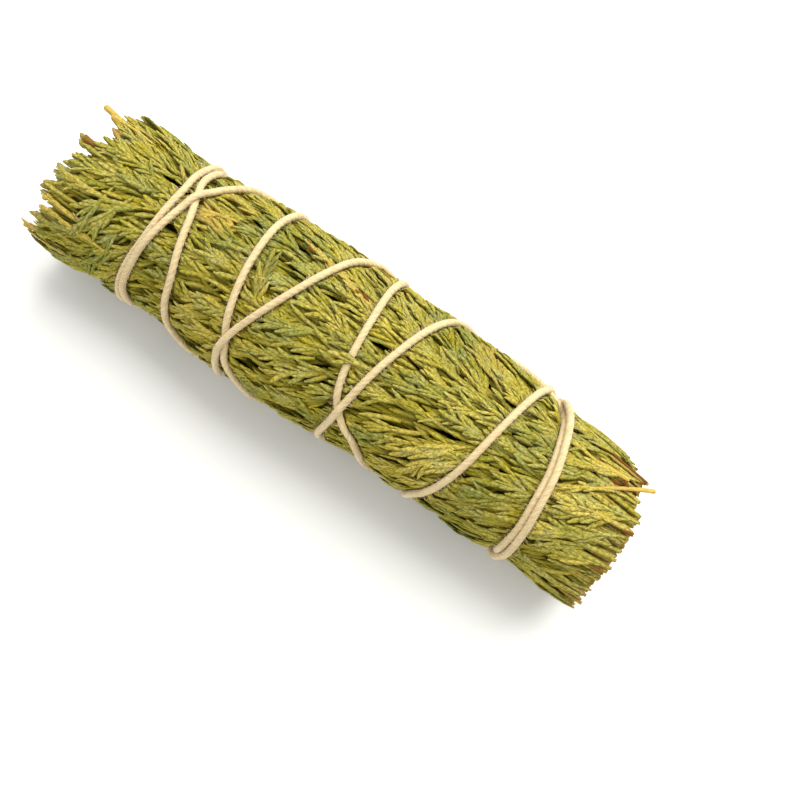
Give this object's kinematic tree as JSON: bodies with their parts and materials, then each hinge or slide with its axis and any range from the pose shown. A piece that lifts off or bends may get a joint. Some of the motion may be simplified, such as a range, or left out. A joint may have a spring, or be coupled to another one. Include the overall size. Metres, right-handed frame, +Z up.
{
  "type": "cedar smudge stick",
  "caption": "Tied bundle of dried scale-leaved cedar sprigs lying on its side, leafy tips at one end, cut stems at the other, wound criss-cross with cotton string.",
  "frame": {"origin": "on the surface the bundle lies on, under the centre of its bounding box", "axes": "+X along the bundle from the leafy tips to the cut stems, +Z up from the pressed-flat underside"},
  "size_m": [0.1061, 0.0292, 0.0275],
  "materials": {
    "foliage_olive": "dry matt scale leaves, olive",
    "foliage_grey_green": "dry matt scale leaves, greyer green",
    "foliage_golden": "dry matt scale leaves, yellowed",
    "cotton_string": "soft undyed cotton, slightly fuzzy"
  },
  "bodies": {
    "root": {"string": "cotton_string", "sprig_outer_01": "foliage_olive", "sprig_outer_02": "foliage_grey_green", "sprig_outer_03": "foliage_olive", "sprig_outer_04": "foliage_golden", "sprig_outer_05": "foliage_olive", "sprig_outer_06": "foliage_grey_green", "sprig_outer_07": "foliage_olive", "sprig_outer_08": "foliage_golden", "sprig_outer_09": "foliage_olive", "sprig_outer_10": "foliage_grey_green", "sprig_outer_11": "foliage_olive", "sprig_outer_12": "foliage_golden", "sprig_outer_13": "foliage_olive", "sprig_outer_14": "foliage_grey_green", "sprig_inner_1": "foliage_grey_green", "sprig_inner_2": "foliage_olive", "sprig_inner_3": "foliage_olive", "sprig_inner_4": "foliage_grey_green", "sprig_inner_5": "foliage_olive", "sprig_inner_6": "foliage_olive", "sprig_middle": "foliage_olive"}
  },
  "joints": []
}
